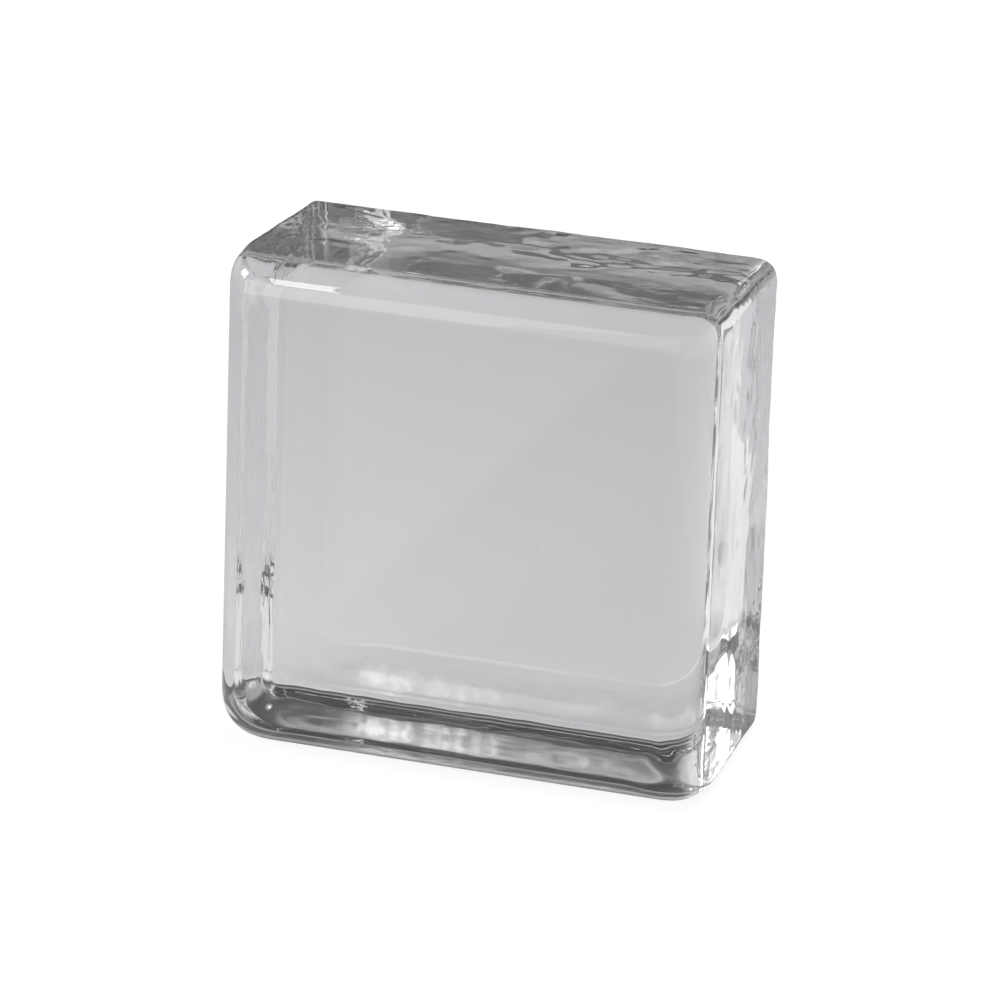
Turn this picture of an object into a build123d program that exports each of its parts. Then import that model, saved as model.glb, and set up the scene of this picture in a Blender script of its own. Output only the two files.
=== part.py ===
"""One solid cast glass block, standing on a bed side with its fire-polished face to the front.

The melt is poured into an open mould. The mould walls are drafted so that the block lifts out, and the mould
floor gives the block its flat back face with an eased arris and fairly square corners. The free surface of the
melt becomes the front face. Surface tension pulls it into a generous round rim and wider corners. The block is
one piece of glass right through, so it is one solid.

Millimetres. +Z is up, -Y is the front, and the origin is on the floor under the middle of the block's box.
"""

import math
import os

from build123d import *

# Driving dimensions of the cast block
width = 100.0  # across the block at its widest, just behind the rim
height = 100.0  # up the front at its tallest, just behind the rim
depth = 50.0  # from the front face to the back face
draft_angle = 1.5  # degrees that each mould wall leans in towards the back
rim_radius = 8.0  # round rim that surface tension leaves about the front face
front_face_corner_radius = 1.0  # corners of the flat front face, inside the rim
arris_radius = 3.0  # eased arris about the back face
back_face_corner_radius = 1.0  # corners of the flat back face, inside the arris

# The walls carried on to the front plane stand out past the widest place by this much on each side
draft = math.radians(draft_angle)
wall_overrun = rim_radius * (math.tan(draft) + 1 / math.cos(draft) - 1)
draft_inset = depth * math.tan(draft)


def outline(margin, corner_radius, distance_behind_front):
    """The block's outline parallel to its front face, that margin outside its widest size on each side."""
    section_plane = Plane((0, distance_behind_front, 0), x_dir=(1, 0, 0), z_dir=(0, -1, 0))
    rectangle = RectangleRounded(width + 2 * margin, height + 2 * margin, corner_radius)
    return (section_plane * rectangle).face()


def mould_wall(front_edge, back_edge):
    """A flat wall between two straight edges, or a tapering round corner between two arcs."""
    if front_edge.geom_type == GeomType.CIRCLE:
        return Face.make_surface_from_curves(front_edge, back_edge)
    start_side = Edge.make_line(front_edge @ 0, back_edge @ 0)
    end_side = Edge.make_line(front_edge @ 1, back_edge @ 1)
    return Face(Wire([front_edge, end_side, back_edge, start_side]))


def edges_at(solid, distance_behind_front):
    """The edges of the outline that lies that far behind the front plane."""
    return solid.edges().filter_by_position(Axis.Y, distance_behind_front, distance_behind_front)


def cast_block():
    """The block about its own depth axis, with the front face at y = 0."""
    front_corner_radius = front_face_corner_radius + rim_radius
    back_corner_radius = back_face_corner_radius + arris_radius
    front = outline(wall_overrun, front_corner_radius, 0)
    back = outline(wall_overrun - draft_inset, back_corner_radius, depth)
    edge_pairs = zip(front.outer_wire().edges(), back.outer_wire().edges())
    walls = [mould_wall(front_edge, back_edge) for front_edge, back_edge in edge_pairs]
    block = Solid(Shell([front, back, *walls]))
    block = fillet(edges_at(block, 0), rim_radius)
    return fillet(edges_at(block, depth), arris_radius)


def stand_on_bed(block):
    """Turns the drafted bed side level and sets it on the floor, with the origin under the middle."""
    levelled = block.rotate(Axis.X, -draft_angle)
    box = levelled.bounding_box()
    middle = box.center()
    return levelled.translate((-middle.X, -middle.Y, -box.min.Z))


glass_block = stand_on_bed(cast_block())

os.makedirs("parts", exist_ok=True)
export_step(glass_block, "parts/glass_block.step")
print("glass_block", round(glass_block.volume), "mm3", glass_block.bounding_box())
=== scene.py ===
import math

import bpy
import numpy as np
from mathutils import Euler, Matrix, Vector


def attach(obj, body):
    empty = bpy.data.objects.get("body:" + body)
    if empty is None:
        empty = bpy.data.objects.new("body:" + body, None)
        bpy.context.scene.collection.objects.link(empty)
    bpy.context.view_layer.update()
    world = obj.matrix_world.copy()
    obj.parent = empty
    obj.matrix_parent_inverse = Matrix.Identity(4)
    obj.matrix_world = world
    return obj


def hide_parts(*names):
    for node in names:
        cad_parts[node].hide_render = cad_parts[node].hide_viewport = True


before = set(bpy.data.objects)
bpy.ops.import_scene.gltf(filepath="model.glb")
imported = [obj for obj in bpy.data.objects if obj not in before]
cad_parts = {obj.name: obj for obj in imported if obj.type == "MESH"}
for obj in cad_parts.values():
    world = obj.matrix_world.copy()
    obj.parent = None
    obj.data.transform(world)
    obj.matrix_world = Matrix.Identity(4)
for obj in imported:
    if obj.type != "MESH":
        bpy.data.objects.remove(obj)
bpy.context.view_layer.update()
print("frame loaded")


# the cast block, built about its own depth axis with the front face at y = 0, then stood on its bed

castBlock = {
    "width": 0.0995,  # at the widest, just behind the rim
    "height": 0.1000,
    "depth": 0.0499,
    "draft": 1.5,  # degrees each mould wall leans in
    "rim": 0.0080,  # fire-polished rim round the front
    "arris": 0.0030,  # eased edge round the back
    "skin": 0.00035,  # room the mould waves have inside the full size
    "topLeft": (0.0062, 0.0020),  # long corners, radius at the rim and at the back
    "topRight": (0.0060, 0.0038),
    "bottomLeft": (0.0108, 0.0035),
    "bottomRight": (0.0075, 0.0026),
    "cornerBlend": 1.17,  # blend width for each unit of corner radius
    "taper": 0.016,  # depth in which the melt draws the corners round
    "loops": ((9, 14), (6, 9)),  # cuts across and up, then through the depth
    "gather": (0.88, 0.78, 0.88),  # how far the loops gather towards the edges
    "cageRoom": 0.002,  # the starting cube is this much wider and higher than the block
    "coreMargin": 0.014,  # the points slide out from a core this far inside
    "slides": 30,  # halvings until a point lies on the cast surface
    "standsAt": (0.0, -0.0250, 0.050195),  # middle of the front face once it stands
}


def selectNothing():
    if bpy.context.object and bpy.context.object.mode != "OBJECT":
        bpy.ops.object.mode_set(mode="OBJECT")
    bpy.ops.object.select_all(action="DESELECT")


def applyAll(obj):
    bpy.context.view_layer.objects.active = obj
    for modifier in list(obj.modifiers):
        bpy.ops.object.modifier_apply(modifier=modifier.name)


def smoothStep(low, high, values):
    t = np.clip((values - low) / (high - low), 0, 1)
    return t * t * (3 - 2 * t)


def getPoints(mesh):
    points = np.empty(len(mesh.vertices) * 3)
    mesh.vertices.foreach_get("co", points)
    return points.reshape(-1, 3)


def roundedMeeting(first, second, radius):
    first, second = first + radius, second + radius
    inside = np.minimum(np.maximum(first, second), 0)
    return inside + np.hypot(np.maximum(first, 0), np.maximum(second, 0)) - radius


def castSurface(b, points):
    # below zero inside the glass; walls meet in corners that grow rounder towards the free front
    lean = math.tan(math.radians(b["draft"]))
    overrun = b["rim"] * (lean + 1 / math.cos(math.radians(b["draft"])) - 1) - b["skin"]
    x, y, z = points.T
    wall = overrun - y * lean
    across = np.abs(x) - b["width"] / 2 - wall
    upright = np.abs(z) - b["height"] / 2 - wall
    fromFront = 1 - smoothStep(0, b["taper"], y)
    corner = np.zeros(len(points))
    for name, here in (
        ("topLeft", (x < 0) & (z >= 0)),
        ("topRight", (x >= 0) & (z >= 0)),
        ("bottomLeft", (x < 0) & (z < 0)),
        ("bottomRight", (x >= 0) & (z < 0)),
    ):
        front, back = b[name]
        corner = np.where(here, b["cornerBlend"] * (back + (front - back) * fromFront), corner)
    blend = np.maximum(corner - np.abs(across - upright), 0)
    side = np.maximum(across, upright) + blend * blend / (4 * corner)
    return np.maximum(roundedMeeting(side, -y, b["rim"]), roundedMeeting(side, y - b["depth"], b["arris"]))


def cutEdges(block, throughDepth, cuts):
    bpy.ops.object.mode_set(mode="EDIT")
    bpy.ops.mesh.select_mode(type="EDGE")
    bpy.ops.mesh.select_all(action="DESELECT")
    bpy.ops.object.mode_set(mode="OBJECT")
    vertices = block.data.vertices
    levelEdge = 0.0001  # an edge with less depth than this runs across or up
    for edge in block.data.edges:
        first, second = (vertices[index].co for index in edge.vertices)
        edge.select = (abs(first.y - second.y) > levelEdge) == bool(throughDepth)
    bpy.ops.object.mode_set(mode="EDIT")
    bpy.ops.mesh.subdivide(number_cuts=cuts)
    bpy.ops.object.mode_set(mode="OBJECT")


def castMesh(b):
    selectNothing()
    bpy.ops.mesh.primitive_cube_add(size=1)
    block = bpy.context.object
    block.name = "castGlassBlock"
    for throughDepth, cuts in enumerate(b["loops"]):
        for cut in cuts:
            cutEdges(block, throughDepth, cut)
    points = getPoints(block.data)
    for axis, pull in enumerate(b["gather"]):
        points[:, axis] = np.sin(points[:, axis] * math.pi * pull) / (2 * math.sin(math.pi * pull / 2))
    cage = (b["width"] + b["cageRoom"], b["depth"], b["height"] + b["cageRoom"])
    outer = points * cage + (0, b["depth"] / 2, 0)
    margin = b["coreMargin"]
    low = np.array((-b["width"] / 2 + margin, margin, -b["height"] / 2 + margin))
    high = np.array((b["width"] / 2 - margin, b["depth"] - margin, b["height"] / 2 - margin))
    core = np.clip(outer, low, high)
    near, far = np.zeros(len(points)), np.ones(len(points))
    for step in range(b["slides"]):  # each point settles between core and cube, on the cast surface
        middle = (near + far) / 2
        glass = castSurface(b, core + (outer - core) * middle[:, None]) < 0
        near = np.where(glass, middle, near)
        far = np.where(glass, far, middle)
    points = core + (outer - core) * ((near + far) / 2)[:, None]
    block.data.vertices.foreach_set("co", points.ravel())
    block.data.update()
    bpy.ops.object.shade_smooth()
    return block


mouldWaves = {
    # name, size, octaves, height, stretch along the chill rings, fade in from and to behind the front face
    "layers": (
        ("longSwell", 0.020, 0, 0.00045, 1.0, 0.0095, 0.0170),
        ("chillRing", 0.0060, 1, 0.00046, 1.8, 0.0095, 0.0280),
        ("ripple", 0.0024, 0, 0.00011, 2.2, 0.0115, 0.0240),
        ("wrinkle", 0.0026, 1, 0.00011, 1.2, 0.0115, 0.0220),
        ("backCrinkle", 0.0020, 1, 0.00010, 1.5, 0.0300, 0.0430),
    ),
    "bedShare": 0.5,  # the bed side came out flatter
    "bedTurn": (0.3, 0.9),  # how far a face looks down where that sets in and is full
    "wallTurn": (0.60, 0.99),  # how far a face looks forward or back where the walls end
    "grainFade": (0.008, 0.015),  # behind the front face, where the mould grain sets in
    "leastWeight": 0.002,
}

# cloudy bloom low on the back face: across, above the bed, half width, half height, strength
backBloom = (
    (-0.0225, 0.0060, 0.0090, 0.0036, 1.00),
    (-0.0265, 0.0064, 0.0040, 0.0026, 0.95),
    (-0.0110, 0.0057, 0.0075, 0.0031, 0.85),
    (-0.0020, 0.0054, 0.0060, 0.0026, 0.55),
    (-0.0010, 0.0056, 0.0022, 0.0020, 0.70),
    (-0.0070, 0.0111, 0.0150, 0.0005, 0.45),
    (0.0060, 0.0070, 0.0320, 0.0044, 0.20),
    (0.0190, 0.0074, 0.0110, 0.0030, 0.60),
    (0.0330, 0.0068, 0.0018, 0.0036, 1.00),
)

bloomEdge = {
    # waviness of the patches' outlines: height, axis it runs along, pitch, phase
    "ragged": ((0.0004, 2, 1000, 1.3), (0.0004, 0, 1300, 0)),
    "frayed": ((0.0004, 0, 800, 0.7), (0.0003, 0, 1700, 2.1)),
    "fullFrom": 0.003,  # thinner patches are less wavy
    "bedBelow": 0.0489,  # the bed below the block's middle
    "fade": (0.15, 1.40),  # from full to none, in half sizes from a patch's middle
    "looksBack": 0.8,  # only faces turned this far to the back
}


def addFloats(mesh, name, values):
    attribute = mesh.attributes.new(name, "FLOAT", "POINT")
    attribute.data.foreach_set("value", values)


def wavy(points, rows):
    return sum(height * np.sin(points[:, axis] * pitch + phase) for height, axis, pitch, phase in rows)


def addBackBloom(mesh, points, normals, e):
    bloom = np.zeros(len(points))
    ragged, frayed = wavy(points, e["ragged"]), wavy(points, e["frayed"])
    for x, height, halfWidth, halfHeight, strength in backBloom:
        fringe = min(1, halfHeight / e["fullFrom"])
        across = (points[:, 0] - x + ragged * fringe) / halfWidth
        upright = (points[:, 2] - height + e["bedBelow"] + frayed * fringe) / halfHeight
        away = np.hypot(across, upright)
        bloom = np.maximum(bloom, strength * (1 - smoothStep(*e["fade"], away)))
    addFloats(mesh, "backBloom", bloom * (normals[:, 1] > e["looksBack"]))


def addMouldWaves(block, waves):
    mesh = block.data
    normals = np.empty(len(mesh.vertices) * 3)
    mesh.vertex_normals.foreach_get("vector", normals)
    points = getPoints(mesh)
    normals = normals.reshape(-1, 3)
    wall = 1 - smoothStep(*waves["wallTurn"], np.abs(normals[:, 1]))
    addFloats(mesh, "mouldWall", wall * smoothStep(*waves["grainFade"], points[:, 1]))
    addBackBloom(mesh, points, normals, bloomEdge)
    rulers = []
    flatter = 1 - (1 - waves["bedShare"]) * smoothStep(*waves["bedTurn"], -normals[:, 2])
    for name, size, octaves, height, stretch, fadeFrom, fadeTo in waves["layers"]:
        weight = wall * flatter * smoothStep(fadeFrom, fadeTo, points[:, 1])
        group = block.vertex_groups.new(name=name)
        for index in np.nonzero(weight > waves["leastWeight"])[0]:
            group.add([int(index)], float(weight[index]), "REPLACE")
        bpy.ops.object.empty_add(location=(0, 0, 0))
        ruler = bpy.context.object
        ruler.scale = (stretch, 1, stretch)
        rulers.append(ruler)
        cloud = bpy.data.textures.new(name, "CLOUDS")
        cloud.noise_scale = size
        cloud.noise_depth = octaves
        cloud.noise_basis = "ORIGINAL_PERLIN"
        wave = block.modifiers.new(name, "DISPLACE")
        wave.texture = cloud
        wave.texture_coords = "OBJECT"
        wave.texture_coords_object = ruler
        wave.vertex_group = name
        wave.mid_level = 0.5
        wave.strength = height
    bpy.context.view_layer.update()
    selectNothing()
    block.select_set(True)
    applyAll(block)
    for ruler in rulers:
        bpy.data.objects.remove(ruler)


def standOnBed(b, block):
    selectNothing()
    block.select_set(True)
    bpy.context.view_layer.objects.active = block
    block.rotation_euler = (-math.radians(b["draft"]), 0, 0)
    block.location = b["standsAt"]
    bpy.ops.object.transform_apply(location=True, rotation=True, scale=True)


glassFinish = {
    "ior": 1.52,
    "tint": (0.995, 0.995, 0.995, 1.0),
    "absorb": (0.93, 0.94, 0.93, 1.0),
    "absorbDensity": 2.0,
    "grain": 0.0011,  # size of the fine mould grain
    "grainHeight": 0.000006,
    "grainDetail": 2.0,
    "seeds": 0.0075,  # spacing of the tiny seeds in the skin
    "seedSize": 0.00040,
    "seedDepth": 0.00010,
    "seedFrom": 0.55,  # cells with a lower random value have next to no seed
    "seedLeast": 0.0001,
    "bloom": 0.0022,  # size of the mottling in the cloudy bloom
    "bloomDetail": 4.0,
    "bloomSpots": (0.38, 0.62),  # noise values where the mottling is thinnest and full
    "bloomLeast": 0.40,
    "bloomRoughness": 0.26,
    "bloomIor": 6.5,
}


def clearGlass(g):
    material = bpy.data.materials.new("clearCastGlass")
    material.use_nodes = True
    nodes, links = material.node_tree.nodes, material.node_tree.links
    shader = nodes["Principled BSDF"]
    shader.inputs["Base Color"].default_value = g["tint"]
    shader.inputs["IOR"].default_value = g["ior"]
    shader.inputs["Transmission Weight"].default_value = 1.0
    place = nodes.new("ShaderNodeTexCoord")
    walls = nodes.new("ShaderNodeAttribute")
    walls.attribute_name = "mouldWall"

    # fine grain where the melt touched the mould
    grain = nodes.new("ShaderNodeTexNoise")
    grain.inputs["Scale"].default_value = 1 / g["grain"]
    grain.inputs["Detail"].default_value = g["grainDetail"]
    links.new(place.outputs["Object"], grain.inputs["Vector"])
    grainBump = nodes.new("ShaderNodeBump")
    grainBump.inputs["Distance"].default_value = g["grainHeight"]
    links.new(grain.outputs["Fac"], grainBump.inputs["Height"])
    links.new(walls.outputs["Fac"], grainBump.inputs["Strength"])

    # a few seeds, one in some of the cells
    cells = nodes.new("ShaderNodeTexVoronoi")
    cells.inputs["Scale"].default_value = 1 / g["seeds"]
    links.new(place.outputs["Object"], cells.inputs["Vector"])
    split = nodes.new("ShaderNodeSeparateColor")
    links.new(cells.outputs["Color"], split.inputs["Color"])
    size = nodes.new("ShaderNodeMapRange")
    size.inputs["From Min"].default_value = g["seedFrom"]
    size.inputs["From Max"].default_value = 1.0
    size.inputs["To Min"].default_value = g["seedLeast"]
    size.inputs["To Max"].default_value = g["seedSize"] / g["seeds"]
    links.new(split.outputs["Red"], size.inputs["Value"])
    seed = nodes.new("ShaderNodeMapRange")
    seed.interpolation_type = "SMOOTHSTEP"
    seed.inputs["To Min"].default_value = 1.0
    seed.inputs["To Max"].default_value = 0.0
    links.new(cells.outputs["Distance"], seed.inputs["Value"])
    links.new(size.outputs["Result"], seed.inputs["From Max"])
    seedBump = nodes.new("ShaderNodeBump")
    seedBump.invert = True
    seedBump.inputs["Distance"].default_value = g["seedDepth"]
    links.new(seed.outputs["Result"], seedBump.inputs["Height"])
    links.new(grainBump.outputs["Normal"], seedBump.inputs["Normal"])
    links.new(seedBump.outputs["Normal"], shader.inputs["Normal"])

    # cloudy bloom, patchy
    mottle = nodes.new("ShaderNodeTexNoise")
    mottle.inputs["Scale"].default_value = 1 / g["bloom"]
    mottle.inputs["Detail"].default_value = g["bloomDetail"]
    links.new(place.outputs["Object"], mottle.inputs["Vector"])
    spots = nodes.new("ShaderNodeMapRange")
    spots.inputs["From Min"].default_value, spots.inputs["From Max"].default_value = g["bloomSpots"]
    spots.inputs["To Min"].default_value = g["bloomLeast"]
    links.new(mottle.outputs["Fac"], spots.inputs["Value"])
    patches = nodes.new("ShaderNodeAttribute")
    patches.attribute_name = "backBloom"
    cloudy = nodes.new("ShaderNodeMath")
    cloudy.operation = "MULTIPLY"
    links.new(spots.outputs["Result"], cloudy.inputs[0])
    links.new(patches.outputs["Fac"], cloudy.inputs[1])
    links.new(cloudy.outputs["Value"], shader.inputs["Coat Weight"])
    shader.inputs["Roughness"].default_value = 0.0
    shader.inputs["Coat Roughness"].default_value = g["bloomRoughness"]
    shader.inputs["Coat IOR"].default_value = g["bloomIor"]

    absorb = nodes.new("ShaderNodeVolumeAbsorption")
    absorb.inputs["Color"].default_value = g["absorb"]
    absorb.inputs["Density"].default_value = g["absorbDensity"]
    links.new(absorb.outputs["Volume"], nodes["Material Output"].inputs["Volume"])
    return material


block = castMesh(castBlock)
addMouldWaves(block, mouldWaves)
standOnBed(castBlock, block)
block.data.materials.clear()
block.data.materials.append(clearGlass(glassFinish))
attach(block, "root")
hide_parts("glass_block")
print("cast block made,", len(block.data.polygons), "faces")


# the studio

studio = {
    "floorSize": 12,
    "floorGlow": 0.885,  # share of the white floor that shadows can't reach
    "floorShade": 0.20,
    "floorGrey": (0.680, 0.665, 0.687, 1.0),
    # painted shade: the floor seen through the glass is painted darker far behind the block
    "floorFarPaintedShade": (0.542, 0.529, 0.548, 1.0),
    "paintedShadeSweep": (0.05, 0.30),  # painted shade: where behind the block the floor is painted darker, standing in for light falling off with distance
    # painted light: the floor is painted whiter in front and left of the block
    "paintedLightWhite": (0.98, 0.97, 0.98, 1.0),
    "paintedLightPool": ((-0.105, -0.175), (0.055, 0.185)),  # painted light: a whiter patch in front and left of the block, standing in for a pool of light; middle and half size on the floor
    # painted shade: a darker patch of floor under the block, standing in for the shade beneath it
    "paintedShadeGrey": (0.36, 0.352, 0.348, 1.0),
    "paintedPatchEdge": 0.9,  # share of a painted patch's half size where its soft edge starts
    # painted shade under the block: middle and half size on the floor
    "paintedShadeUnder": ((0.0, 0.0), (0.045, 0.020)),
    # light of the room by height (sine of the elevation), at the sides and in front, and behind
    "roomAir": ((0.0, 0.75), (0.45, 0.75), (0.72, 0.05), (1.0, 0.05)),
    "backAir": (
        (0.0, 0.08), (0.12, 0.10), (0.17, 0.32), (0.34, 0.32),
        (0.44, 0.10), (0.60, 0.06), (0.74, 0.20), (1.0, 0.20),
    ),
    "behindFrom": (0.30, 0.80),  # how far a ray runs backwards where the air behind sets in and is full
    "roomTint": (0.985, 0.995, 1.01),
    "backTint": (1.0, 0.98, 0.96),
    "softboxes": (
        # name, centre, looks at, width, height, radiance
        ("keyLeft", (-0.8175, -0.80, 0.47), (-0.8175, 0.0, 0.47), 1.165, 0.58, 1.8),
        ("keyMiddle", (-0.035, -0.80, 0.47), (-0.035, 0.0, 0.47), 0.40, 0.58, 0.7),
        ("stripLeft", (-0.392, -0.66, 0.88), (-0.392, -0.02, 0.095), 0.055, 0.30, 8.0),
        ("windowLeft", (-0.95, -0.28, 0.62), (0.0, 0.0, 0.10), 0.30, 0.30, 10.0),
        ("windowThrough", (-0.95, -0.28, 0.62), (0.0, 0.0, 0.10), 0.30, 0.30, 7.0),
        ("overhead", (0.10, 0.10, 1.55), (0.0, 0.0, 0.05), 0.60, 0.50, 12.4),
    ),
}


def softbox(name, centre, target, width, height, radiance):
    data = bpy.data.lights.new(name, "AREA")
    data.shape = "RECTANGLE"
    data.size = width
    data.size_y = height
    data.energy = radiance * math.pi * width * height
    lamp = bpy.data.objects.new(name, data)
    bpy.context.scene.collection.objects.link(lamp)
    lamp.location = centre
    lamp.rotation_euler = (Vector(target) - Vector(centre)).to_track_quat("-Z", "Y").to_euler()
    lamp.visible_camera = False
    return lamp


def paintedFloorPatch(nodes, links, softFrom, middle, half):
    # 1 on a painted patch of the floor (painted light or painted shade), 0 beside it
    place = nodes.new("ShaderNodeTexCoord")
    split = nodes.new("ShaderNodeSeparateXYZ")
    links.new(place.outputs["Object"], split.inputs["Vector"])
    both = nodes.new("ShaderNodeMath")
    both.operation = "MULTIPLY"
    for index in range(2):
        away = nodes.new("ShaderNodeMath")
        away.operation = "SUBTRACT"
        away.inputs[1].default_value = middle[index]
        links.new(split.outputs[index], away.inputs[0])
        size = nodes.new("ShaderNodeMath")
        size.operation = "ABSOLUTE"
        links.new(away.outputs["Value"], size.inputs[0])
        edge = nodes.new("ShaderNodeMapRange")
        edge.inputs["From Min"].default_value = half[index] * softFrom
        edge.inputs["From Max"].default_value = half[index]
        edge.inputs["To Min"].default_value = 1.0
        edge.inputs["To Max"].default_value = 0.0
        links.new(size.outputs["Value"], edge.inputs["Value"])
        links.new(edge.outputs["Result"], both.inputs[index])
    return both.outputs["Value"]


def paleFloor(s):
    selectNothing()
    bpy.ops.mesh.primitive_plane_add(size=s["floorSize"], location=(0, 0, 0))
    floor = bpy.context.object
    floor.name = "paleFloor"
    material = bpy.data.materials.new("palePaper")
    material.use_nodes = True
    nodes, links = material.node_tree.nodes, material.node_tree.links
    nodes.remove(nodes["Principled BSDF"])
    out = nodes["Material Output"]
    grey = nodes.new("ShaderNodeBsdfDiffuse")
    place = nodes.new("ShaderNodeTexCoord")
    split = nodes.new("ShaderNodeSeparateXYZ")
    links.new(place.outputs["Object"], split.inputs["Vector"])
    # painted shade: the grey floor is painted darker further behind the block
    paintedFalloff = nodes.new("ShaderNodeMapRange")
    paintedFalloff.inputs["From Min"].default_value, paintedFalloff.inputs["From Max"].default_value = s["paintedShadeSweep"]
    links.new(split.outputs["Y"], paintedFalloff.inputs["Value"])
    paper = nodes.new("ShaderNodeMix")
    paper.data_type = "RGBA"
    paper.inputs[6].default_value = s["floorGrey"]
    paper.inputs[7].default_value = s["floorFarPaintedShade"]
    links.new(paintedFalloff.outputs["Result"], paper.inputs["Factor"])
    below = paper.outputs[2]
    # painted light and painted shade laid over the floor colour: a whiter pool of light in front, a darker
    # shade under the block
    for colour, paintedPatch in ((s["paintedLightWhite"], s["paintedLightPool"]), (s["paintedShadeGrey"], s["paintedShadeUnder"])):
        over = nodes.new("ShaderNodeMix")
        over.data_type = "RGBA"
        links.new(paintedFloorPatch(nodes, links, s["paintedPatchEdge"], *paintedPatch), over.inputs["Factor"])
        links.new(below, over.inputs[6])
        over.inputs[7].default_value = colour
        below = over.outputs[2]
    links.new(below, grey.inputs["Color"])
    white = nodes.new("ShaderNodeBsdfDiffuse")
    white.inputs["Color"].default_value = (s["floorShade"],) * 3 + (1,)
    glow = nodes.new("ShaderNodeEmission")
    glow.inputs["Strength"].default_value = s["floorGlow"]
    seen = nodes.new("ShaderNodeAddShader")
    path = nodes.new("ShaderNodeLightPath")
    mix = nodes.new("ShaderNodeMixShader")
    links.new(white.outputs["BSDF"], seen.inputs[0])
    links.new(glow.outputs["Emission"], seen.inputs[1])
    links.new(path.outputs["Is Camera Ray"], mix.inputs["Fac"])
    links.new(grey.outputs["BSDF"], mix.inputs[1])
    links.new(seen.outputs["Shader"], mix.inputs[2])
    links.new(mix.outputs["Shader"], out.inputs["Surface"])
    floor.data.materials.append(material)
    return floor


def studioAir(s):
    world = bpy.data.worlds.new("studioAir")
    bpy.context.scene.world = world
    world.use_nodes = True
    nodes, links = world.node_tree.nodes, world.node_tree.links
    nodes.clear()
    air = nodes.new("ShaderNodeBackground")
    place = nodes.new("ShaderNodeTexCoord")
    split = nodes.new("ShaderNodeSeparateXYZ")
    links.new(place.outputs["Generated"], split.inputs["Vector"])
    ramps = []
    for stops, tint in ((s["roomAir"], s["roomTint"]), (s["backAir"], s["backTint"])):
        ramp = nodes.new("ShaderNodeValToRGB")
        links.new(split.outputs["Z"], ramp.inputs["Fac"])
        elements = ramp.color_ramp.elements
        for height, light in stops[1:-1]:
            elements.new(height)
        for stop, (height, light) in zip(elements, stops):
            stop.color = [light * share for share in tint] + [1]
        ramps.append(ramp)
    behind = nodes.new("ShaderNodeMapRange")
    behind.interpolation_type = "SMOOTHSTEP"
    behind.inputs["From Min"].default_value, behind.inputs["From Max"].default_value = s["behindFrom"]
    links.new(split.outputs["Y"], behind.inputs["Value"])
    around = nodes.new("ShaderNodeMix")
    around.data_type = "RGBA"
    links.new(behind.outputs["Result"], around.inputs["Factor"])
    links.new(ramps[0].outputs["Color"], around.inputs[6])
    links.new(ramps[1].outputs["Color"], around.inputs[7])
    links.new(around.outputs[2], air.inputs["Color"])
    white = nodes.new("ShaderNodeBackground")
    white.inputs["Color"].default_value = (1, 1, 1, 1)
    white.inputs["Strength"].default_value = 1.0
    path = nodes.new("ShaderNodeLightPath")
    mix = nodes.new("ShaderNodeMixShader")
    out = nodes.new("ShaderNodeOutputWorld")
    links.new(path.outputs["Is Camera Ray"], mix.inputs["Fac"])
    links.new(air.outputs["Background"], mix.inputs[1])
    links.new(white.outputs["Background"], mix.inputs[2])
    links.new(mix.outputs["Shader"], out.inputs["Surface"])


paleFloor(studio)
studioAir(studio)
lamps = {box[0]: softbox(*box) for box in studio["softboxes"]}
lamps["stripLeft"].visible_transmission = False  # only draws the streak on the rim
lamps["windowLeft"].visible_transmission = False  # not seen through the glass
lamps["windowThrough"].visible_glossy = False  # not seen in reflections
lamps["windowThrough"].visible_diffuse = False
lamps["overhead"].visible_transmission = False  # only lights the floor
lamps["overhead"].visible_glossy = False
print("studio set")


# the camera, fitted to the photo's outline

shot = {
    "place": (0.38560717, -1.17752564, 0.52381041),
    "turn": (69.039689, -1.369140, 18.626431),
    "lens": 244.904532,
    "sensor": 36,
    "nearest": 0.05,
    "bounces": 32,  # enough for light to find its way out of the block
    "glossyBounces": 16,
}

cameraData = bpy.data.cameras.new("shotCamera")
cameraData.lens = shot["lens"]
cameraData.sensor_width = shot["sensor"]
cameraData.clip_start = shot["nearest"]
camera = bpy.data.objects.new("shotCamera", cameraData)
bpy.context.scene.collection.objects.link(camera)
camera.location = shot["place"]
camera.rotation_euler = Euler([math.radians(turn) for turn in shot["turn"]])
scene = bpy.context.scene
scene.camera = camera
scene.view_settings.view_transform = "Standard"
scene.cycles.max_bounces = shot["bounces"]
scene.cycles.transmission_bounces = shot["bounces"]
scene.cycles.glossy_bounces = shot["glossyBounces"]
scene.cycles.use_denoising = True
print("camera set")
